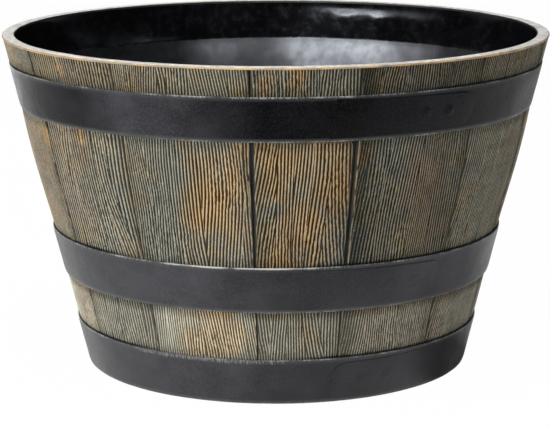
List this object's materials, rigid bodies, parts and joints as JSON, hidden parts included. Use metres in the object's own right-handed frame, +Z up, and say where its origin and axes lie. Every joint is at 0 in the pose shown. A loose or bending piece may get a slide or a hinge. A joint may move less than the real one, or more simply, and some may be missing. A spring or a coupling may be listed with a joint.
{
  "type": "half-cask flower pot",
  "caption": "Tapered half-cask planter in moulded plastic: wood-effect staves, riveted strap hoops, painted rim, black inside and push-in drain plugs.",
  "frame": {"origin": "centre of the base, on the ground", "axes": "+Z up along the pot's axis; -Y towards the viewer of the picture, with the laps of the hoops to the right of it; +X to that viewer's right"},
  "size_m": [0.4999, 0.5, 0.305],
  "materials": {
    "tub_black": "satin black moulding, a little wavy, with soft scuffs",
    "rim_paint": "cream paint brushed over the black moulding, warmer at the outer edge",
    "wood_effect": "moulded wood grain, dark in the hollows and dry-brushed tan to olive on the ridges",
    "hoop_charcoal": "charcoal, finely pitted, with paint rubbed along the edges",
    "plug_rubber": "matt black rubber"
  },
  "bodies": {
    "pot": {"tub": "tub_black", "rim": "rim_paint", "stave_01": "wood_effect", "stave_02": "wood_effect", "stave_03": "wood_effect", "stave_04": "wood_effect", "stave_05": "wood_effect", "stave_06": "wood_effect", "stave_07": "wood_effect", "stave_08": "wood_effect", "stave_09": "wood_effect", "stave_10": "wood_effect", "stave_11": "wood_effect", "stave_12": "wood_effect", "stave_13": "wood_effect", "top_hoop": "hoop_charcoal", "top_hoop_rivets": "hoop_charcoal", "middle_hoop": "hoop_charcoal", "middle_hoop_rivets": "hoop_charcoal", "base_hoop": "hoop_charcoal", "base_hoop_rivets": "hoop_charcoal"},
    "plug_1": {"drain_plug_1": "plug_rubber"},
    "plug_2": {"drain_plug_2": "plug_rubber"},
    "plug_3": {"drain_plug_3": "plug_rubber"},
    "plug_4": {"drain_plug_4": "plug_rubber"}
  },
  "joints": [
    {"name": "plug_1_pull", "type": "slide", "parent": "pot", "child": "plug_1", "axis": [0, 0, 1], "range_m": [0, 0.03]},
    {"name": "plug_2_pull", "type": "slide", "parent": "pot", "child": "plug_2", "axis": [0, 0, 1], "range_m": [0, 0.03]},
    {"name": "plug_3_pull", "type": "slide", "parent": "pot", "child": "plug_3", "axis": [0, 0, 1], "range_m": [0, 0.03]},
    {"name": "plug_4_pull", "type": "slide", "parent": "pot", "child": "plug_4", "axis": [0, 0, 1], "range_m": [0, 0.03]}
  ]
}
